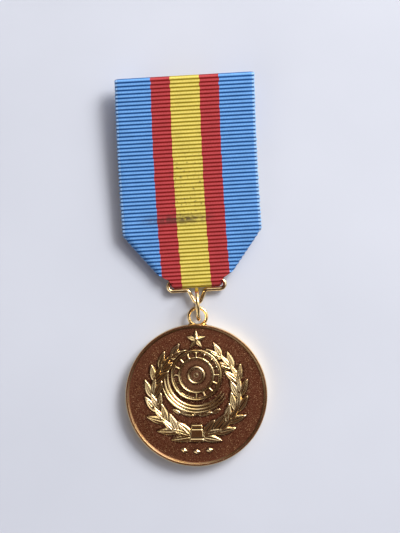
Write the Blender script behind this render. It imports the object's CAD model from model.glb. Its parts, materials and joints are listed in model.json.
import json
import math

import bpy
import numpy as np
from mathutils import Matrix, Vector


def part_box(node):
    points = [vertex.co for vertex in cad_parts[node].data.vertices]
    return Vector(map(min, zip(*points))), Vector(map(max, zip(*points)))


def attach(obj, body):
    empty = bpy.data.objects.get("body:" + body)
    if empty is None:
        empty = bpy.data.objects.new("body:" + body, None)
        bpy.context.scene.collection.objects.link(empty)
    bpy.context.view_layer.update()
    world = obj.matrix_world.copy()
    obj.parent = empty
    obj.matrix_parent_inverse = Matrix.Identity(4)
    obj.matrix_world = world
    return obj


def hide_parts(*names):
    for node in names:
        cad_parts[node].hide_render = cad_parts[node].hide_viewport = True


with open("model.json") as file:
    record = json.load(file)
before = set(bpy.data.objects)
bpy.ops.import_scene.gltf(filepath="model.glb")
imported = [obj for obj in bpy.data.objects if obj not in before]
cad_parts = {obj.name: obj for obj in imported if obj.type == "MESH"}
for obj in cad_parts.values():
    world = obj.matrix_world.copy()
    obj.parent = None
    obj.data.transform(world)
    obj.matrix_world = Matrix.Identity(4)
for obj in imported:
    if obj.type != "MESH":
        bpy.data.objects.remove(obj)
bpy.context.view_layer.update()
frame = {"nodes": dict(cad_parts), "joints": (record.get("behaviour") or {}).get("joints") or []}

# A service medal lying face up on pale paper. Blender works in metres; the sizes here are in
# millimetres and are turned into metres by MM as each mesh is made.
MM = 0.001

# ---- places read from the frame, in millimetres ----
JOINTS = {j["name"]: j for j in frame["joints"]}
BAR = Vector(JOINTS["hanger_swing"]["pos_m"]) / MM
PIN_AXIS = Vector(JOINTS["pin_open"]["axis"])
TILT = math.atan2(-PIN_AXIS.z, -PIN_AXIS.y)
DRAPE = Matrix.Translation(BAR) @ Matrix.Rotation(TILT, 4, "X")


def box_mm(node):
    """A node's lowest and highest corners, in millimetres."""
    low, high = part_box(node)
    return Vector(low) / MM, Vector(high) / MM


EYE_LOW, EYE_HIGH = box_mm("suspension_eye")
DISC_LOW, DISC_HIGH = box_mm("medal_disc")
DISC_R = (DISC_HIGH.x - DISC_LOW.x) / 2
DISC_T = DISC_HIGH.z - DISC_LOW.z
EYE_X = (EYE_LOW.x + EYE_HIGH.x) / 2
EYE_Y = (EYE_LOW.y + EYE_HIGH.y) / 2
EMBLEM_TURN = math.radians(1.4)      # the eye is brazed on a little to one side
LEAN = math.atan2(EYE_X, EYE_Y)
MEDAL = Matrix.Rotation(EMBLEM_TURN - LEAN, 4, "Z")

# ---- the ribbon's own sizes ----
RIBBON_HALF = 17.5
RIBBON_LENGTH = 53.75
BOTTOM_HALF = 6.75
DIAGONAL_H = 13.75
LOOP_DROP = 0.5          # the loop's centre lies this far below the bar
LOOP_OUT = 1.3           # the loop's centre to the ribbon's bottom edge
LAYER_Z = 1.05           # middle of the front layer over the bar's centre
HEM_Z = -0.45            # middle of the layers folded behind the card
HEM_LENGTH = 16.0
TAIL_TOP = 42.0
TAIL_HALF = 5.8
LOOP_HALF = 6.55         # half width where the cloth enters the loop
LOOP_NARROWS = (0.35, 1.3)   # it narrows to the tail between these distances round the loop
FOLD_ABOVE = 2.0         # the corners are folded behind from this far above the bar
RIB_PITCH = 0.968
RIB_STEPS = 7            # rows of the mesh along one rib
RIB_BASE = 0.11          # middle of the cloth to the groove between two ribs
RIB_RISE = 0.17          # groove to crest
COLUMNS = 40             # points of the mesh across each face of the cloth
EDGE_ROUND = 0.15        # the rounded woven edge takes this much of the half width
EDGE_BULGE = 0.04        # how far that edge stands out in a groove
CREST_BULGE = 0.30       # how much further it stands out at a crest
EDGE_JITTER = 0.05
BOW = 0.45               # the ribbon bends this far sideways between its ends


def to_object(name, verts, faces, rounded=True):
    """A mesh object from points in millimetres."""
    mesh = bpy.data.meshes.new(name)
    mesh.from_pydata([tuple(v) for v in np.asarray(verts) * MM], [], faces)
    mesh.validate()
    obj = bpy.data.objects.new(name, mesh)
    bpy.context.scene.collection.objects.link(obj)
    if rounded:
        mesh.shade_smooth()
    return obj


# ---- node helpers ----
def new_material(name):
    """A node material, its tree and its shader."""
    mat = bpy.data.materials.new(name)
    mat.use_nodes = True
    nodes = mat.node_tree.nodes
    shader = nodes["Principled BSDF"]
    return mat, mat.node_tree, shader


def node(tree, kind, **settings):
    """A node with its properties set; in_1=2.0 sets its second input to 2.0."""
    made = tree.nodes.new(kind)
    for key, value in settings.items():
        if key.startswith("in_"):
            made.inputs[int(key[3:])].default_value = value
        else:
            setattr(made, key, value)
    return made


def math_node(tree, operation, first, second=None):
    """A Math node fed by sockets or numbers."""
    made = tree.nodes.new("ShaderNodeMath")
    made.operation = operation
    for i, value in enumerate((first, second)):
        if value is None:
            continue
        if isinstance(value, (int, float)):
            made.inputs[i].default_value = value
        else:
            tree.links.new(value, made.inputs[i])
    return made.outputs[0]


def product(tree, first, *others):
    """The product of sockets or numbers."""
    for other in others:
        first = math_node(tree, "MULTIPLY", first, other)
    return first


def off_from(tree, value, middle):
    """How far a socket's value lies from a number, on either side."""
    return math_node(tree, "ABSOLUTE", math_node(tree, "SUBTRACT", value, middle))


def mix_colour(tree, factor, first, second, blend="MIX"):
    """A colour Mix node fed by sockets or colours."""
    made = tree.nodes.new("ShaderNodeMix")
    made.data_type = "RGBA"
    made.blend_type = blend
    for i, value in ((0, factor), (6, first), (7, second)):
        if isinstance(value, (int, float)):
            made.inputs[i].default_value = value
        elif isinstance(value, tuple):
            made.inputs[i].default_value = (*value, 1)
        else:
            tree.links.new(value, made.inputs[i])
    return made.outputs[2]


def ramp(tree, factor, stops, interpolation="LINEAR"):
    """A colour ramp; stops are (position, grey or colour)."""
    made = tree.nodes.new("ShaderNodeValToRGB")
    made.color_ramp.interpolation = interpolation
    elements = made.color_ramp.elements
    while len(elements) < len(stops):
        elements.new(0.5)
    for element, (at, value) in zip(elements, stops):
        element.position = at
        colour = (value, value, value) if isinstance(value, float) else value
        element.color = (*colour, 1)
    tree.links.new(factor, made.inputs[0])
    return made.outputs[0]


def bump(tree, height, strength, distance, below=None):
    """A bump node whose distance is in millimetres."""
    made = node(tree, "ShaderNodeBump", in_0=strength, in_1=distance * MM)
    tree.links.new(height, made.inputs["Height"])
    if below is not None:
        tree.links.new(below, made.inputs["Normal"])
    return made.outputs[0]


def noise(tree, place, scale, detail=3.0, rough=0.5, distortion=0.0):
    """Noise with its scale in features per millimetre."""
    made = node(tree, "ShaderNodeTexNoise")
    made.inputs["Scale"].default_value = scale / MM
    made.inputs["Detail"].default_value = detail
    made.inputs["Roughness"].default_value = rough
    made.inputs["Distortion"].default_value = distortion
    tree.links.new(place, made.inputs["Vector"])
    return made.outputs["Fac"]


def object_place(tree):
    """Object coordinates, which stay with the piece as it moves."""
    return node(tree, "ShaderNodeTexCoord").outputs["Object"]


def attribute(tree, name):
    """A number stored at the mesh's points."""
    return node(tree, "ShaderNodeAttribute", attribute_name=name).outputs["Fac"]


def feed(tree, shader, **sockets):
    """Links sockets to the shader's inputs, named with _ for a space."""
    for name, socket in sockets.items():
        tree.links.new(socket, shader.inputs[name.replace("_", " ")])


# ---- materials ----
BLUE = (0.195, 0.46, 0.93)
RED = (0.58, 0.075, 0.082)
YELLOW = (0.93, 0.76, 0.17)
BLUE_DEEP = (0.004, 0.065, 0.26)
RED_DEEP = (0.23, 0.006, 0.006)
YELLOW_DEEP = (0.33, 0.245, 0.010)
DIRT = (0.06, 0.035, 0.03)
BLUE_EDGE = 8.6          # the blue stripes start this far from the middle
YELLOW_EDGE = 3.7        # the yellow stripe ends this far from the middle
STRIPE_WOBBLE = 0.22
THREADS_PER_MM = 2.6
SMUDGE_UP = 17.6         # the line of dirt lies this far above the ribbon's bottom edge
SMUDGE_HALF = 1.6        # half the width of that line
SMUDGE_LEFT = -14.0      # where it starts, from the middle
SMUDGE_SPAN = 24.0
SPECKS_ABOVE = 8.0       # the specks' middle lies this far above the line
SPECKS_REACH = 12.0
SPECKS_HALF = 5.0
EDGE_START = 16.95       # the woven edge starts this far from the middle
EDGE_DARK = (0.010, 0.045, 0.15)
EDGE_PALE = (0.36, 0.58, 0.90)


def stripes(tree, x, blue, red, yellow):
    """Blue outside, then red, and yellow in the middle, from the distance x to the middle."""
    is_blue = math_node(tree, "GREATER_THAN", x, BLUE_EDGE)
    is_yellow = math_node(tree, "LESS_THAN", x, YELLOW_EDGE)
    return mix_colour(tree, is_yellow, mix_colour(tree, is_blue, red, blue), yellow)


def soiling(tree, uv, across, along):
    """How dirty the cloth is: a broken line a third of the way up, and specks above it."""
    near = math_node(tree, "DIVIDE", off_from(tree, along, SMUDGE_V), SMUDGE_HALF)
    near = ramp(tree, near, [(0.0, 1.0), (0.35, 0.75), (1.0, 0.0)])
    side = math_node(tree, "ADD", across, -SMUDGE_LEFT)
    side = math_node(tree, "DIVIDE", side, SMUDGE_SPAN)
    side = ramp(tree, side, [(0.0, 0.0), (0.25, 0.65), (0.5, 1.0), (0.72, 0.5), (0.85, 0.0)])
    broken = ramp(tree, noise(tree, uv, 0.8 * MM, 4.0, 0.7), [(0.33, 0.0), (0.53, 1.0)])
    line = product(tree, near, side, broken)

    zone = off_from(tree, along, SMUDGE_V - SPECKS_ABOVE)
    zone = math_node(tree, "DIVIDE", zone, SPECKS_REACH)
    zone = ramp(tree, zone, [(0.0, 1.0), (0.6, 0.7), (1.0, 0.0)])
    middle = math_node(tree, "LESS_THAN", math_node(tree, "ABSOLUTE", across), SPECKS_HALF)
    spots = ramp(tree, noise(tree, uv, 1.3 * MM, 2.0, 0.7), [(0.60, 0.0), (0.66, 1.0)])
    specks = product(tree, spots, zone, middle)

    both = math_node(tree, "ADD", product(tree, line, 0.95), product(tree, specks, 0.8))
    return math_node(tree, "MINIMUM", both, 0.85)


def ribbon_material():
    """Ribbed silk: five woven stripes, darker grooves, fine warp threads and a faint smudge.
    The UV map holds millimetres: U across from the middle, V along the strip."""
    mat, tree, shader = new_material("ribbon_cloth")
    uv = node(tree, "ShaderNodeUVMap").outputs[0]
    split = node(tree, "ShaderNodeSeparateXYZ")
    tree.links.new(uv, split.inputs[0])
    across, along = split.outputs[0], split.outputs[1]

    ribs = math_node(tree, "DIVIDE", along, RIB_PITCH)
    rib_number = math_node(tree, "FLOOR", ribs)
    rib_phase = math_node(tree, "FRACT", ribs)
    crown = math_node(tree, "SINE", product(tree, rib_phase, math.pi))
    depth = ramp(tree, crown, [(0.22, 0.0), (0.62, 0.36), (0.95, 1.0)])

    # Each rib's stripes start a little off from the next one's.
    wobble = node(tree, "ShaderNodeTexWhiteNoise", noise_dimensions="1D")
    tree.links.new(rib_number, wobble.inputs["W"])
    shift = product(tree, math_node(tree, "SUBTRACT", wobble.outputs[0], 0.5), STRIPE_WOBBLE)
    x = math_node(tree, "ABSOLUTE", math_node(tree, "ADD", across, shift))
    crests = stripes(tree, x, BLUE, RED, YELLOW)
    grooves = stripes(tree, x, BLUE_DEEP, RED_DEEP, YELLOW_DEEP)
    lit = mix_colour(tree, depth, grooves, crests)

    # Warp threads run along the ribbon, and every other rib shows the other set of them.
    thread = product(tree, across, THREADS_PER_MM)
    thread = math_node(tree, "ADD", thread, product(tree, rib_number, 0.5))
    thread_wave = math_node(tree, "SINE", product(tree, thread, 2 * math.pi))
    half_wave = product(tree, thread_wave, 0.5)
    threads = ramp(tree, math_node(tree, "ADD", half_wave, 0.5), [(0.0, 0.84), (1.0, 1.0)])
    lit = mix_colour(tree, 1.0, lit, threads, "MULTIPLY")
    fading = ramp(tree, noise(tree, uv, 0.25 * MM, 3.0, 0.6), [(0.3, 0.90), (0.7, 1.04)])
    lit = mix_colour(tree, 1.0, lit, fading, "MULTIPLY")

    # The woven edges are paler, with a loop of thread at each rib.
    edge = math_node(tree, "GREATER_THAN", math_node(tree, "ABSOLUTE", across), EDGE_START)
    loop = ramp(tree, crown, [(0.35, 0.0), (0.8, 1.0)])
    loops = mix_colour(tree, loop, EDGE_DARK, EDGE_PALE)
    lit = mix_colour(tree, product(tree, edge, 0.7), lit, loops)

    soiled = soiling(tree, uv, across, along)
    lit = mix_colour(tree, soiled, lit, DIRT)

    fuzz = noise(tree, uv, 4.0 * MM, 4.0, 0.6)
    height = math_node(tree, "ADD", half_wave, fuzz)
    feed(tree, shader, Base_Color=lit, Normal=bump(tree, height, 0.55, 0.05))
    shader.inputs["Roughness"].default_value = 0.52
    shader.inputs["Specular IOR Level"].default_value = 0.10
    shader.inputs["Sheen Weight"].default_value = 0.03
    shader.inputs["Sheen Roughness"].default_value = 0.4
    return mat


GOLD = (0.94, 0.65, 0.26)
GOLD_PALE = (1.0, 0.79, 0.46)
FIELD_DARK = (0.060, 0.0175, 0.0088)
FIELD_PALE = (0.210, 0.079, 0.039)
FIELD_CLOUD = (0.17, 0.050, 0.029)
FIELD_HOLLOW = (0.020, 0.007, 0.004)
FIELD_SPARK = (0.75, 0.42, 0.20)
GOLD_HOLLOW = (0.13, 0.05, 0.015)


def struck_material():
    """Gilt bronze: sandblasted where the attribute relief is 0, polished where it is 1, and
    darker with old dirt where the attribute cavity is 1."""
    mat, tree, shader = new_material("gilt_bronze")
    place = object_place(tree)
    polished = ramp(tree, attribute(tree, "relief"), [(0.15, 0.0), (0.55, 1.0)])
    cavity = attribute(tree, "cavity")
    grit = noise(tree, place, 3.2, 2.0, 0.7)
    grain = noise(tree, place, 7.5, 2.0, 0.8)
    clouds = noise(tree, place, 0.22, 3.0, 0.55)

    speckle = ramp(tree, grit, [(0.30, 0.0), (0.70, 1.0)])
    field = mix_colour(tree, speckle, FIELD_DARK, FIELD_PALE)
    patches = ramp(tree, clouds, [(0.3, 0.0), (0.7, 0.35)])
    field = mix_colour(tree, patches, field, FIELD_CLOUD)
    hollow = ramp(tree, cavity, [(0.0, 0.0), (0.9, 0.75)])
    field = mix_colour(tree, hollow, field, FIELD_HOLLOW)
    sparks = ramp(tree, noise(tree, place, 5.0, 1.0, 0.5), [(0.66, 0.0), (0.72, 0.85)])
    field = mix_colour(tree, sparks, field, FIELD_SPARK)

    pale = ramp(tree, clouds, [(0.3, 0.0), (0.75, 1.0)])
    shine = mix_colour(tree, pale, GOLD, GOLD_PALE)
    hollow = ramp(tree, cavity, [(0.05, 0.0), (0.7, 0.95)])
    shine = mix_colour(tree, hollow, shine, GOLD_HOLLOW)

    rough_field = ramp(tree, grain, [(0.3, 0.36), (0.7, 0.50)])
    rough_shine = ramp(tree, clouds, [(0.3, 0.13), (0.7, 0.20)])
    keep = math_node(tree, "SUBTRACT", 1.0, product(tree, polished, 0.93))
    sand = product(tree, math_node(tree, "ADD", grit, grain), keep)
    feed(
        tree, shader,
        Base_Color=mix_colour(tree, polished, field, shine),
        Roughness=mix_colour(tree, polished, rough_field, rough_shine),
        Normal=bump(tree, sand, 0.8, 0.09),
    )
    shader.inputs["Metallic"].default_value = 1.0
    return mat


def gilt_wire_material():
    """Polished gilt wire with faint drawing marks and a little tarnish."""
    mat, tree, shader = new_material("gilt_wire")
    place = object_place(tree)
    clouds = noise(tree, place, 0.8, 3.0, 0.6)
    fine = noise(tree, place, 9.0, 2.0, 0.6)
    pale = ramp(tree, clouds, [(0.3, 0.0), (0.7, 1.0)])
    feed(
        tree, shader,
        Base_Color=mix_colour(tree, pale, GOLD, GOLD_PALE),
        Roughness=ramp(tree, clouds, [(0.3, 0.12), (0.7, 0.22)]),
        Normal=bump(tree, fine, 0.15, 0.02),
    )
    shader.inputs["Metallic"].default_value = 1.0
    return mat


def nickel_material():
    """Satin nickel plate with fine brush lines along X and dull patches."""
    mat, tree, shader = new_material("nickel")
    place = object_place(tree)
    stretch = node(tree, "ShaderNodeMapping")
    stretch.inputs["Scale"].default_value = (0.06, 1, 1)
    tree.links.new(place, stretch.inputs["Vector"])
    lines = noise(tree, stretch.outputs[0], 14.0, 2.0, 0.6)
    clouds = noise(tree, place, 0.4, 3.0, 0.6)
    feed(
        tree, shader,
        Base_Color=mix_colour(tree, clouds, (0.60, 0.58, 0.54), (0.74, 0.73, 0.70)),
        Roughness=ramp(tree, lines, [(0.3, 0.24), (0.7, 0.40)]),
        Normal=bump(tree, lines, 0.3, 0.02),
    )
    shader.inputs["Metallic"].default_value = 1.0
    return mat


def card_material():
    """Grey-white pasteboard with short fibres."""
    mat, tree, shader = new_material("card")
    fibre = noise(tree, object_place(tree), 1.6, 5.0, 0.7, 1.5)
    feed(
        tree, shader,
        Base_Color=mix_colour(tree, fibre, (0.30, 0.28, 0.24), (0.44, 0.42, 0.37)),
        Normal=bump(tree, fibre, 0.4, 0.06),
    )
    shader.inputs["Roughness"].default_value = 0.85
    return mat


def thread_material():
    """Twisted sewing thread, blue like the ribbon."""
    mat, tree, shader = new_material("thread")
    twist = node(tree, "ShaderNodeTexWave", bands_direction="DIAGONAL")
    twist.inputs["Scale"].default_value = 1.4 / MM
    twist.inputs["Distortion"].default_value = 1.0
    tree.links.new(object_place(tree), twist.inputs["Vector"])
    strand = twist.outputs["Fac"]
    feed(
        tree, shader,
        Base_Color=mix_colour(tree, strand, (0.05, 0.12, 0.26), (0.16, 0.30, 0.55)),
        Normal=bump(tree, strand, 0.6, 0.04),
    )
    shader.inputs["Roughness"].default_value = 0.6
    return mat


def paper_material():
    """White paper, a little blue, with soft broad clouds."""
    mat, tree, shader = new_material("paper")
    place = object_place(tree)
    clouds = noise(tree, place, 0.02, 3.0, 0.5)
    fine = noise(tree, place, 1.2, 4.0, 0.6)
    feed(
        tree, shader,
        Base_Color=mix_colour(tree, clouds, (0.570, 0.597, 0.680), (0.662, 0.690, 0.778)),
        Normal=bump(tree, fine, 0.12, 0.05),
    )
    shader.inputs["Roughness"].default_value = 0.75
    return mat


# ---- the ribbon ----
RIBBON_BOTTOM = -LOOP_DROP - LOOP_OUT
RIBBON_TOP = RIBBON_BOTTOM + RIBBON_LENGTH
RIB_CREST = RIB_BASE + RIB_RISE
TURN_R = (LAYER_Z - HEM_Z) / 2
TURN_Z = (LAYER_Z + HEM_Z) / 2
TURN_Y = RIBBON_TOP - TURN_R - RIB_CREST
HEM_RUN = TURN_Y - (RIBBON_TOP - HEM_LENGTH)
TOP_RUN = math.pi * TURN_R
FRONT_RUN = TURN_Y + LOOP_DROP
LOOP_RUN = math.pi * LAYER_Z
TAIL_RUN = TAIL_TOP + LOOP_DROP
STRIP = HEM_RUN + TOP_RUN + FRONT_RUN + LOOP_RUN + TAIL_RUN
SMUDGE_V = HEM_RUN + TOP_RUN + (TURN_Y - (RIBBON_BOTTOM + SMUDGE_UP))


def slant_x(y):
    """Half width between the slanting sides, at height y over the bar."""
    return BOTTOM_HALF + (y - RIBBON_BOTTOM) * (RIBBON_HALF - BOTTOM_HALF) / DIAGONAL_H


def smooth(value, low, high):
    """0 below low, 1 above high, and an even curve between."""
    t = np.clip((value - low) / (high - low), 0, 1)
    return t * t * (3 - 2 * t)


def strip_line(s):
    """Where the middle of the strip runs: (y, z, outward y, outward z, on the front)."""
    if s < HEM_RUN:
        return RIBBON_TOP - HEM_LENGTH + s, HEM_Z, 0.0, -1.0, False
    s -= HEM_RUN
    if s < TOP_RUN:
        out_y, out_z = math.sin(s / TURN_R), -math.cos(s / TURN_R)
        return TURN_Y + TURN_R * out_y, TURN_Z + TURN_R * out_z, out_y, out_z, False
    s -= TOP_RUN
    if s < FRONT_RUN:
        return TURN_Y - s, LAYER_Z, 0.0, 1.0, True
    s -= FRONT_RUN
    if s < LOOP_RUN:
        out_y, out_z = -math.sin(s / LAYER_Z), math.cos(s / LAYER_Z)
        return -LOOP_DROP + LAYER_Z * out_y, LAYER_Z * out_z, out_y, out_z, False
    s -= LOOP_RUN
    return s - LOOP_DROP, -LAYER_Z, 0.0, -1.0, False


def half_width(s):
    """Half width of the strip at s, and whether its corners are folded behind there."""
    y, _, _, _, front = strip_line(s)
    into_loop = s - (HEM_RUN + TOP_RUN + FRONT_RUN)
    if into_loop > 0:
        share = float(smooth(into_loop, *LOOP_NARROWS))
        return LOOP_HALF + (TAIL_HALF - LOOP_HALF) * share, False
    if front and y < FOLD_ABOVE:
        wide = slant_x(y) - RIB_CREST
        return wide + (LOOP_HALF - wide) * float(smooth(-y, -FOLD_ABOVE, LOOP_DROP)), False
    return RIBBON_HALF - EDGE_ROUND, front


def fold_corner(x, y):
    """A point of the front, turned behind where it lies past the slant, and its outward way."""
    run, rise = RIBBON_HALF - BOTTOM_HALF, DIAGONAL_H
    length = math.hypot(run, rise)
    out_x, out_y = rise / length, -run / length
    past = (abs(x) - slant_x(y)) * out_x + TURN_R + RIB_CREST
    if past <= 0:
        return x, y, LAYER_Z, 0.0, 0.0, 1.0
    side = 1 if x > 0 else -1
    angle = min(past / TURN_R, math.pi)
    beyond = max(past - math.pi * TURN_R, 0)
    reach = TURN_R * math.sin(angle) - beyond - past
    z = TURN_Z + TURN_R * math.cos(angle)
    nx, ny = side * out_x * math.sin(angle), out_y * math.sin(angle)
    return x + side * out_x * reach, y + out_y * reach, z, nx, ny, math.cos(angle)


def rib_rows():
    """The mesh's rows: (distance along the strip, the rib's rise there from 0 to 1)."""
    rows = []
    for rib in range(int(STRIP / RIB_PITCH)):
        for step in range(RIB_STEPS):
            angle = math.pi * step / RIB_STEPS
            phase = (1 - math.cos(angle)) / 2
            rows.append(((rib + phase) * RIB_PITCH, math.sin(angle)))
    return rows


def edge_tip(outer, inner, last, inward, bulge):
    """The outermost point of the rounded edge, past the last points of the two faces."""
    middle = (outer[last] + inner[last]) / 2
    way = middle - (outer[inward] + inner[inward]) / 2
    return middle + way / max(np.linalg.norm(way), 1e-6) * bulge


def ribbon_ring(s, rise, bulge):
    """One closed row round the strip, outer face and then inner face, and each point's U."""
    half, folded = half_width(s)
    y, z, out_y, out_z, _ = strip_line(s)
    full = RIBBON_HALF - EDGE_ROUND
    outer, inner, across = [], [], []
    for t in np.linspace(-1, 1, COLUMNS):
        if folded:
            x = t * full
            px, py, pz, nx, ny, nz = fold_corner(x, y)
        else:
            x = max(-half, min(half, t * full))
            px, py, pz, nx, ny, nz = x, y, z, 0.0, out_y, out_z
        sway = -BOW * 4 * (py / RIBBON_TOP) * (1 - py / RIBBON_TOP)
        thick = (RIB_BASE + RIB_RISE * rise) * (1 - 0.35 * smooth(abs(x), full - 0.5, full))
        centre = np.array((px + sway, py, pz))
        out = np.array((nx, ny, nz)) * thick
        outer.append(centre + out)
        inner.append(centre - out)
        across.append(x)
    right = edge_tip(outer, inner, -1, -3, bulge)
    left = edge_tip(outer, inner, 0, 2, bulge)
    points = outer + [right] + inner[::-1] + [left]
    return points, across + [across[-1]] + across[::-1] + [across[0]]


def strip_faces(row_count):
    """The closed strip's faces: all round between rows, and a cap at each end."""
    ring = 2 * COLUMNS + 2
    faces = []
    for r in range(row_count - 1):
        low, high = r * ring, (r + 1) * ring
        for c in range(ring):
            n = (c + 1) % ring
            faces.append((low + c, low + n, high + n, high + c))
    cap = [(c, c + 1, ring - 3 - c, ring - 2 - c) for c in range(COLUMNS - 1)]
    cap += [(COLUMNS - 1, COLUMNS, COLUMNS + 1), (ring - 2, ring - 1, 0)]
    last = (row_count - 1) * ring
    faces += [face[::-1] for face in cap]
    faces += [tuple(last + c for c in face) for face in cap]
    return faces


def make_ribbon():
    """The whole ribbon as one closed strip: hem, front with its folded corners, loop and tail."""
    rows = rib_rows()
    rng = np.random.default_rng(7)
    rib_shift = rng.normal(0, EDGE_JITTER, len(rows) // RIB_STEPS + 1)
    verts, uvs = [], []
    for index, (s, rise) in enumerate(rows):
        bulge = EDGE_BULGE + CREST_BULGE * rise + rib_shift[index // RIB_STEPS]
        points, across = ribbon_ring(s, rise, bulge)
        verts += [tuple(DRAPE @ Vector(p)) for p in points]
        uvs += [(x, s) for x in across]
    obj = to_object("ribbon_strip", verts, strip_faces(len(rows)))
    mesh = obj.data
    layer = mesh.uv_layers.new(name="cloth")
    loop_vertex = np.zeros(len(mesh.loops), dtype=np.int64)
    mesh.loops.foreach_get("vertex_index", loop_vertex)
    layer.data.foreach_set("uv", np.array(uvs)[loop_vertex].ravel())
    mesh.materials.append(ribbon_material())
    return obj


# ---- the struck disc ----
GRID = 270               # points along each side of the face's grid
FIELD_R = DISC_R - 0.95  # the field meets the rim's inner slope here
FIELD_Z = DISC_T - 0.6
DIAL_Y = 5.1             # centre of the dial
DIAL_RINGS = [           # radius, half width and height over the field
    (6.25, 0.24, 0.52), (5.80, 0.12, 0.30),
    (4.42, 0.20, 0.44), (4.05, 0.10, 0.26),
    (2.0, 0.26, 0.46), (1.45, 0.10, 0.24),
]
TICKS = 16
TICK_R = 5.1             # the ticks' middles lie on this radius
STAR_Y = 14.1            # centre of the star
PELLET_R = 14.3          # the lozenges lie on this radius, below the tie
PELLET_STEP = 13         # degrees from one to the next
RELIEF_TOP = 0.58        # the highest the relief may stand over the field
BACK_Z = 0.03            # the back is sunk this far inside its rim
BACK_POLISH = 0.36       # the plain back is satin, between sandblasted and polished


def square_to_disc(n):
    """Maps an n by n square grid onto the unit disc, keeping the grid's squares even."""
    line = np.linspace(-1, 1, n)
    a, b = np.meshgrid(line, line, indexing="xy")
    radius = np.where(np.abs(a) > np.abs(b), np.abs(a), np.abs(b))
    wide = np.abs(a) >= np.abs(b)
    safe_a = np.where(a == 0, 1, a)
    safe_b = np.where(b == 0, 1, b)
    angle = np.where(wide, (math.pi / 4) * (b / safe_a), math.pi / 2 - (math.pi / 4) * (a / safe_b))
    sign = np.where(wide, np.sign(a), np.sign(b))
    even_x, even_y = sign * radius * np.cos(angle), sign * radius * np.sin(angle)
    keep = np.clip(radius, 0, 1) ** 2
    root = np.sqrt(np.maximum(a * a + b * b - a * a * b * b, 1e-9))
    long = np.sqrt(np.maximum(a * a + b * b, 1e-9))
    soft_x, soft_y = a * root / long, b * root / long
    return soft_x * (1 - keep) + even_x * keep, soft_y * (1 - keep) + even_y * keep


def ridge(distance, half, height, power=0.5):
    """A rounded ridge: full height where distance is 0, nothing past half."""
    t = np.clip(1 - (distance / half) ** 2, 0, 1)
    return height * t**power


class Relief:
    """The height of the struck face over its field, built up by laying shapes over each other."""

    def __init__(self, x, y):
        self.x, self.y = x, y
        self.height = np.zeros_like(x)

    def lay(self, height):
        """Keeps the higher of what is there and the new shape."""
        self.height = np.maximum(self.height, height)

    def leaf(self, at, angle, length, width, height, curl=0.0):
        """A pointed leaf with a raised body, a cut midrib and side veins."""
        dx, dy = self.x - at[0], self.y - at[1]
        c, s = math.cos(angle), math.sin(angle)
        along, across = dx * c + dy * s, -dx * s + dy * c
        across = across - curl * (along / length) ** 2 * length
        t = np.clip(2 * along / length, -1, 1)
        room = width / 2 * np.clip(1 - np.abs(t) ** 1.9, 0, 1) ** 0.8 * (1 - 0.22 * t)
        inside = np.abs(across) / np.maximum(room, 1e-4)
        body = np.where(inside < 1, np.clip(1 - inside**2.4, 0, 1) ** 0.5, 0)
        midrib = np.exp(-((across / 0.10) ** 2)) * 0.34
        slant = (along - np.abs(across) * 1.1) * 7.5
        veins = 0.03 * np.sin(slant) * smooth(inside, 0.1, 0.4) * (1 - inside)
        rise = 0.72 + 0.28 * (t + 1) / 2
        self.lay(np.where(body > 0, height * (body * rise - midrib * body + veins * body), 0))

    def ring(self, centre, radius, half, height, power=0.5):
        """A raised ring."""
        r = np.hypot(self.x - centre[0], self.y - centre[1])
        self.lay(ridge(np.abs(r - radius), half, height, power))

    def arc(self, centre, radius, half, height, middle, spread):
        """Part of a ring round the angle middle, dying away towards both ends."""
        dx, dy = self.x - centre[0], self.y - centre[1]
        r = np.hypot(dx, dy)
        angle = np.arctan2(dy, dx)
        off = np.abs((angle - middle + math.pi) % (2 * math.pi) - math.pi)
        taper = np.clip(1 - (off / spread) ** 3, 0, 1)
        wide = np.maximum(half * taper, 1e-4)
        high = height * (0.35 + 0.65 * taper)
        self.lay(np.where(taper > 0, ridge(np.abs(r - radius), wide, high), 0))

    def bar(self, at, angle, length, width, height):
        """A flat-topped bar with sloping sides."""
        dx, dy = self.x - at[0], self.y - at[1]
        c, s = math.cos(angle), math.sin(angle)
        along, across = np.abs(dx * c + dy * s), np.abs(-dx * s + dy * c)
        edge = np.minimum(length / 2 - along, width / 2 - across)
        self.lay(height * smooth(edge, 0, 0.16))

    def star(self, at, reach, notch, height):
        """A five-point star whose facets rise to its middle."""
        dx, dy = self.x - at[0], self.y - at[1]
        r = np.hypot(dx, dy)
        angle = (np.arctan2(dy, dx) - math.pi / 2) % (2 * math.pi / 5)
        angle = np.minimum(angle, 2 * math.pi / 5 - angle)
        tip = np.array([reach, 0.0])
        dent = notch * np.array([math.cos(math.pi / 5), math.sin(math.pi / 5)])
        side = dent - tip
        normal = np.array([side[1], -side[0]])
        normal = normal * np.sign(normal @ tip)
        facing = normal[0] * np.cos(angle) + normal[1] * np.sin(angle)
        edge = (normal @ tip) / np.maximum(facing, 1e-6)
        share = np.clip(1 - r / edge, 0, 1)
        self.lay(height * np.minimum(share * 1.15, 1) + np.where(share > 0, 0.10, 0))


BRANCH_R = 10.9          # radius of each branch's twig
BRANCH_Y = 0.7           # both branches curve round a centre this far up
LEAF_RANKS = 8           # each branch has this many leaves in each of its three rows
LEAF_ROWS = ((1, 0.52), (-1, -0.46), (0, 0.04))   # side of the twig, and the lean off it


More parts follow.
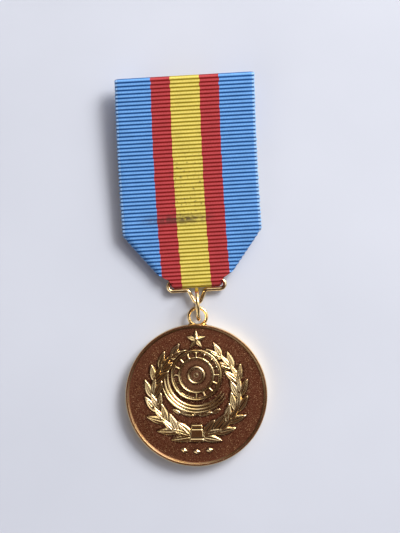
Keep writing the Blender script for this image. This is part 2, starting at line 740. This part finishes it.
def lay_branches(relief):
    """Two laurel branches: a twig and three rows of leaves that grow smaller upwards."""
    rng = np.random.default_rng(21)
    centre = (0.0, BRANCH_Y)
    for side in (1, -1):
        middle = math.radians(-7 if side > 0 else 187)
        relief.arc(centre, BRANCH_R, 0.32, 0.26, middle, math.radians(76))
        for i in range(LEAF_RANKS):
            share = i / (LEAF_RANKS - 1)
            at_angle = math.radians(-73 + 136 * share)
            length = 6.0 - 1.7 * share
            for row, lean in LEAF_ROWS:
                jitter = rng.normal(0, 0.11)
                radius = BRANCH_R + row * 1.15 + rng.normal(0, 0.08)
                angle = at_angle + (0.07 if row == 0 else 0.0)
                at = (side * radius * math.cos(angle), BRANCH_Y + radius * math.sin(angle))
                heading = angle + math.pi / 2 - lean + jitter
                if side < 0:
                    heading = math.pi - heading
                width = (2.05 if row else 1.6) - 0.45 * share
                height = 0.50 if row else 0.56
                relief.leaf(at, heading, length, width, height, rng.normal(0, 0.04))


def lay_dial(relief):
    """A plain dial: two large rings with even ticks between them, a small ring and a boss."""
    centre = (0.0, DIAL_Y)
    r = np.hypot(relief.x - centre[0], relief.y - centre[1])
    relief.height = np.where(r < 6.75, 0, relief.height)
    relief.lay(0.12 * smooth(6.5 - r, 0, 0.25))
    for radius, half, height in DIAL_RINGS:
        relief.ring(centre, radius, half, height)
    relief.lay(ridge(r, 0.95, 0.22, 0.9))
    for i in range(TICKS):
        angle = 2 * math.pi * i / TICKS
        at = (TICK_R * math.cos(angle), DIAL_Y + TICK_R * math.sin(angle))
        relief.bar(at, angle, 1.3, 0.5, 0.42)


def lay_crescent(relief):
    """A swept crescent of three ridges under the dial, with a small scroll below."""
    centre = (0.0, DIAL_Y - 0.7)
    down = -math.pi / 2
    relief.arc(centre, 7.25, 0.42, 0.46, down - 0.40, math.radians(88))
    relief.arc(centre, 8.05, 0.42, 0.52, down - 0.32, math.radians(82))
    relief.arc(centre, 8.80, 0.36, 0.44, down - 0.20, math.radians(70))
    for side in (1, -1):
        heading = 0.22 if side > 0 else math.pi - 0.22
        relief.leaf((side * 2.4, -4.75), heading, 3.8, 1.0, 0.40)
        relief.leaf((side * 5.0, -4.1), heading + side * 0.3, 2.6, 0.9, 0.36)
    relief.bar((0, -4.7), 0.0, 1.2, 0.9, 0.44)


def lay_tie(relief):
    """The tie at the foot of the branches, widening downwards, with two cut bands."""
    y = relief.y
    half = 1.45 + (-7.5 - y) * 0.12
    edge = np.minimum(np.minimum(half - np.abs(relief.x), -7.4 - y), y + 11.9)
    body = smooth(edge, 0, 0.22)
    cut = np.exp(-(((y + 8.5) / 0.16) ** 2)) + np.exp(-(((y + 10.9) / 0.16) ** 2))
    relief.height = np.where(edge > 0, 0, relief.height)
    relief.lay(body * (0.42 - 0.2 * np.clip(cut, 0, 1)))


def lay_pellets(relief):
    """Three plain lozenges on an arc near the rim."""
    for i in (-1, 0, 1):
        angle = math.radians(-90 + PELLET_STEP * i)
        at = (PELLET_R * math.cos(angle), PELLET_R * math.sin(angle))
        dx, dy = relief.x - at[0], relief.y - at[1]
        c, s = math.cos(angle), math.sin(angle)
        radial, around = np.abs(dx * c + dy * s), np.abs(-dx * s + dy * c)
        relief.lay(0.48 * np.clip(1 - around / 1.15 - radial / 0.75, 0, 1) ** 0.8)


def strike(x, y):
    """The height of the whole emblem over the field."""
    relief = Relief(x, y)
    lay_branches(relief)
    lay_crescent(relief)
    lay_dial(relief)
    lay_tie(relief)
    relief.star((0.0, STAR_Y), 2.75, 1.12, 0.46)
    lay_pellets(relief)
    return np.clip(relief.height, 0, RELIEF_TOP)


def hollows(height):
    """How far each point lies below what is round it, as 0 to 1."""
    around = height.copy()
    for _ in range(14):
        sides = around[:-2, 1:-1] + around[2:, 1:-1] + around[1:-1, :-2] + around[1:-1, 2:]
        around[1:-1, 1:-1] = sides / 4
    return np.clip((around - height) / 0.07, 0, 1)


# The rim, the edge and the back as rings, from the field outwards: (radius, height, polish).
RIM = [
    (FIELD_R + 0.12, FIELD_Z + 0.16, 0.35),
    (FIELD_R + 0.24, DISC_T - 0.12, 0.4),
    (FIELD_R + 0.33, DISC_T - 0.02, 0.35),
    (FIELD_R + 0.45, DISC_T, 0.15),
    (DISC_R - 0.22, DISC_T, 0.15),
    (DISC_R - 0.10, DISC_T - 0.03, 0.45),
    (DISC_R - 0.03, DISC_T - 0.10, 0.8),
    (DISC_R, DISC_T - 0.24, 1),
    (DISC_R, DISC_T / 2, 1),
    (DISC_R, 0.42, 1),
    (DISC_R - 0.07, 0.19, 1),
    (DISC_R - 0.22, 0.05, 1),
    (DISC_R - 0.42, 0.0, 1),
    (DISC_R - 1.0, 0.0, 0.6),
    (DISC_R - 1.3, BACK_Z, BACK_POLISH),
    (DISC_R * 0.5, BACK_Z, BACK_POLISH),
]


def grid_border(n):
    """The points round an n by n grid, anticlockwise."""
    border = list(range(n))
    border += [j * n + n - 1 for j in range(1, n)]
    border += [(n - 1) * n + i for i in range(n - 2, -1, -1)]
    return border + [j * n for j in range(n - 2, 0, -1)]


def make_disc():
    """The disc as one closed mesh: struck face, rim, edge and plain back."""
    n = GRID
    u, v = square_to_disc(n)
    x, y = u * FIELD_R, v * FIELD_R
    height = strike(x, y)
    cavity = hollows(height).ravel()
    points = list(zip(x.ravel(), y.ravel(), (FIELD_Z + height).ravel()))
    polish = list(np.clip((height.ravel() - 0.10) / 0.12, 0, 1))
    faces = []
    for j in range(n - 1):
        for i in range(n - 1):
            low, high = j * n + i, (j + 1) * n + i
            faces.append((low, low + 1, high + 1, high))

    border = grid_border(n)
    last = border
    for radius, z, shine in RIM:
        ring = []
        for k in border:
            px, py, _ = points[k]
            scale = radius / math.hypot(px, py)
            ring.append(len(points))
            points.append((px * scale, py * scale, z))
            polish.append(shine)
        for k in range(len(border)):
            m = (k + 1) % len(border)
            faces.append((last[m], last[k], ring[k], ring[m]))
        last = ring
    centre = len(points)
    points.append((0.0, 0.0, BACK_Z))
    polish.append(BACK_POLISH)
    for k in range(len(border)):
        faces.append((last[(k + 1) % len(border)], last[k], centre))

    obj = to_object("struck_disc", [tuple(MEDAL @ Vector(p)) for p in points], faces)
    hollow = np.zeros(len(points), dtype=np.float32)
    hollow[: len(cavity)] = cavity
    for name, values in (("relief", np.array(polish, dtype=np.float32)), ("cavity", hollow)):
        obj.data.attributes.new(name, "FLOAT", "POINT").data.foreach_set("value", values)
    obj.data.materials.append(struck_material())
    return obj


# ---- thread ----
def tube(name, paths, radius, sides=8):
    """Closed tubes of one radius along smooth open paths, joined into one mesh."""
    verts, faces = [], []
    for path in paths:
        points = [Vector(p) for p in path]
        start = len(verts)
        for i, p in enumerate(points):
            way = (points[min(i + 1, len(points) - 1)] - points[max(i - 1, 0)]).normalized()
            side = way.cross(Vector((1, 0, 0))).normalized()
            up = way.cross(side)
            for k in range(sides):
                a = 2 * math.pi * k / sides
                verts.append(tuple(p + side * (radius * math.cos(a)) + up * (radius * math.sin(a))))
        for i in range(len(points) - 1):
            for k in range(sides):
                m = (k + 1) % sides
                low, high = start + i * sides, start + (i + 1) * sides
                faces.append((low + k, low + m, high + m, high + k))
        faces.append(tuple(start + k for k in reversed(range(sides))))
        faces.append(tuple(start + (len(points) - 1) * sides + k for k in range(sides)))
    return to_object(name, verts, faces)


def staple(x, y0, y1, base0, base1, top, steps=12):
    """A thread that comes up at y0, lies over an edge and goes down at y1."""
    path = []
    for i in range(steps + 1):
        t = i / steps
        y = y0 + (y1 - y0) * (1 - math.cos(math.pi * t)) / 2
        lift = math.sin(math.pi * t) ** 0.6
        base = base0 + (base1 - base0) * t
        path.append(DRAPE @ Vector((x, y, base + (top - base) * lift)))
    return path


PLATE_Y = RIBBON_TOP - 4.95   # the middle of the brooch's plate
HEM_BACK = -0.7          # the back of the hem
PLATE_BACK = HEM_BACK - 0.8
THREAD_R = 0.15
THREAD_LIFT = 0.22       # the thread's middle over what it holds


def make_brooch_stitches():
    """Thread from each hole of the plate over its edge into the hem."""
    paths = []
    for x in (-9.0, -3.0, 3.0, 9.0):
        for side in (1, -1):
            for turn in (-0.16, 0.16):
                y0, y1 = PLATE_Y + side * 1.95, PLATE_Y + side * 3.25
                top = PLATE_BACK - THREAD_LIFT
                paths.append(staple(x + turn, y0, y1, PLATE_BACK + 0.3, HEM_BACK, top))
    return tube("brooch_thread", paths, THREAD_R)


def make_tail_stitches():
    """Thread over the end of the tail, in a row of slanting stitches."""
    paths = []
    for i in range(7):
        x = (i - 3) * 1.65
        path = staple(x, TAIL_TOP - 1.3, TAIL_TOP + 0.45, -1.25, HEM_BACK, -1.55)
        paths.append([p + Vector((0.5 * k / len(path), 0, 0)) for k, p in enumerate(path)])
    return tube("tail_thread", paths, THREAD_R)


# ---- light, floor and camera ----
VIEW_MM = 134.9          # height of the view in the plane of the medal's face
FACE_PLANE = 3.5         # height of that plane
VIEW_RIGHT = 0.9         # the view's middle from the disc's centre, along the picture's sides
VIEW_UP = 32.65
LENS = 85.0
SENSOR = 36.0
ROLL = math.radians(3.3)
FLOOR_HALF = 6000.0
FLOOR_Z = -0.02
LIGHT_TARGET = (0, 30, 0)

# The room that the metal reflects: dark, darkest overhead, with a window up and to the right
# and a low bright door down and to the left.
ROOM_LOW = (0.040, 0.040, 0.046)
ROOM_HIGH = (0.065, 0.066, 0.072)
OVERHEAD = (0.050, 0.026, 0.020)
WINDOW_SKY = (0.97, 0.98, 1.0)
WINDOW_WAY = (0.64, 0.60, 0.48)
DOOR_SKY = (0.85, 0.84, 0.82)
DOOR_WAY = (-0.69, -0.69, 0.22)
ROOM_LEVEL = 1.5
BACKDROP = (0.44, 0.455, 0.49)   # what the camera sees past the floor


def make_floor():
    """A large sheet of white paper."""
    ends = (-FLOOR_HALF, FLOOR_HALF)
    corners = [(ends[0], ends[0]), (ends[1], ends[0]), (ends[1], ends[1]), (ends[0], ends[1])]
    points = [(x, y, FLOOR_Z) for x, y in corners]
    floor = to_object("paper_floor", points, [(0, 1, 2, 3)], rounded=False)
    floor.data.materials.append(paper_material())


def add_area(name, at, size, power, colour):
    """A soft rectangular light aimed at the medal. Places and sizes in millimetres."""
    light = bpy.data.lights.new(name, "AREA")
    light.shape = "RECTANGLE"
    light.size, light.size_y = size[0] * MM, size[1] * MM
    light.energy = power
    light.color = colour
    obj = bpy.data.objects.new(name, light)
    obj.location = Vector(at) * MM
    target = Vector(LIGHT_TARGET) * MM
    obj.rotation_euler = (target - obj.location).to_track_quat("-Z", "Y").to_euler()
    bpy.context.scene.collection.objects.link(obj)


def patch(tree, way, toward, start, full):
    """1 where the way points toward a direction, 0 away from it."""
    made = node(tree, "ShaderNodeVectorMath", operation="DOT_PRODUCT", in_1=toward)
    tree.links.new(way, made.inputs[0])
    return ramp(tree, made.outputs["Value"], [(start, 0.0), (full, 1.0)])


def make_lights():
    """A window up and to the right, a faint fill, and the room."""
    add_area("window", (500, 480, 560), (400, 360), 7.7, (1.0, 0.985, 0.96))
    add_area("fill", (-420, -160, 380), (420, 420), 0.35, (0.86, 0.92, 1.0))
    world = bpy.data.worlds.new("room")
    bpy.context.scene.world = world
    world.use_nodes = True
    tree = world.node_tree
    way = node(tree, "ShaderNodeTexCoord").outputs["Generated"]
    split = node(tree, "ShaderNodeSeparateXYZ")
    tree.links.new(way, split.inputs[0])
    levels = [(0.0, ROOM_LOW), (0.45, ROOM_HIGH), (0.70, OVERHEAD), (1.0, OVERHEAD)]
    room = ramp(tree, split.outputs[2], levels)
    room = mix_colour(tree, patch(tree, way, DOOR_WAY, 0.86, 0.96), room, DOOR_SKY)
    room = mix_colour(tree, patch(tree, way, WINDOW_WAY, 0.58, 0.82), room, WINDOW_SKY)
    seen = node(tree, "ShaderNodeLightPath").outputs["Is Camera Ray"]
    back = tree.nodes["Background"]
    tree.links.new(mix_colour(tree, seen, room, BACKDROP), back.inputs[0])
    back.inputs[1].default_value = ROOM_LEVEL


def make_camera():
    """Straight above the table, rolled so that the ribbon leans a little to the left."""
    camera = bpy.data.cameras.new("camera")
    camera.lens = LENS
    camera.sensor_width = SENSOR
    camera.clip_start = 0.01
    obj = bpy.data.objects.new("camera", camera)
    right = Vector((math.cos(ROLL), -math.sin(ROLL), 0))
    up = Vector((math.sin(ROLL), math.cos(ROLL), 0))
    aim = right * VIEW_RIGHT + up * VIEW_UP
    distance = FACE_PLANE + VIEW_MM * LENS / SENSOR
    obj.location = (aim + Vector((0, 0, distance))) * MM
    obj.rotation_euler = (0, 0, -ROLL)
    bpy.context.scene.collection.objects.link(obj)
    bpy.context.scene.camera = obj
    bpy.context.scene.view_settings.view_transform = "Standard"


def finish_node(name, material):
    """Gives a CAD node that stays its material."""
    obj = frame["nodes"][name]
    obj.data.materials.clear()
    obj.data.materials.append(material)
    for polygon in obj.data.polygons:
        polygon.material_index = 0


def place(obj, body, slot, *nodes):
    """Fastens a piece to its body and says what it stands for."""
    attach(obj, body)
    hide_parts(*nodes)


make_camera()
make_floor()
make_lights()

ribbon = make_ribbon()
place(ribbon, "drape", "ribbon_cloth", "ribbon")

disc = make_disc()
place(disc, "medal", "gilt_bronze", "medal_disc")

thread = thread_material()
brooch_thread = make_brooch_stitches()
place(brooch_thread, "drape", "thread", "brooch_stitches")
brooch_thread.data.materials.append(thread)
tail_thread = make_tail_stitches()
place(tail_thread, "drape", "thread", "ribbon_stitches")
tail_thread.data.materials.append(thread)

wire = gilt_wire_material()
for name in ("hanger_wire", "jump_ring", "suspension_eye"):
    finish_node(name, wire)
nickel = nickel_material()
for name in ("brooch_plate", "hinge_bracket", "hinge_rivet", "pin_stem", "catch_housing", "catch_collar"):
    finish_node(name, nickel)
finish_node("ribbon_card", card_material())
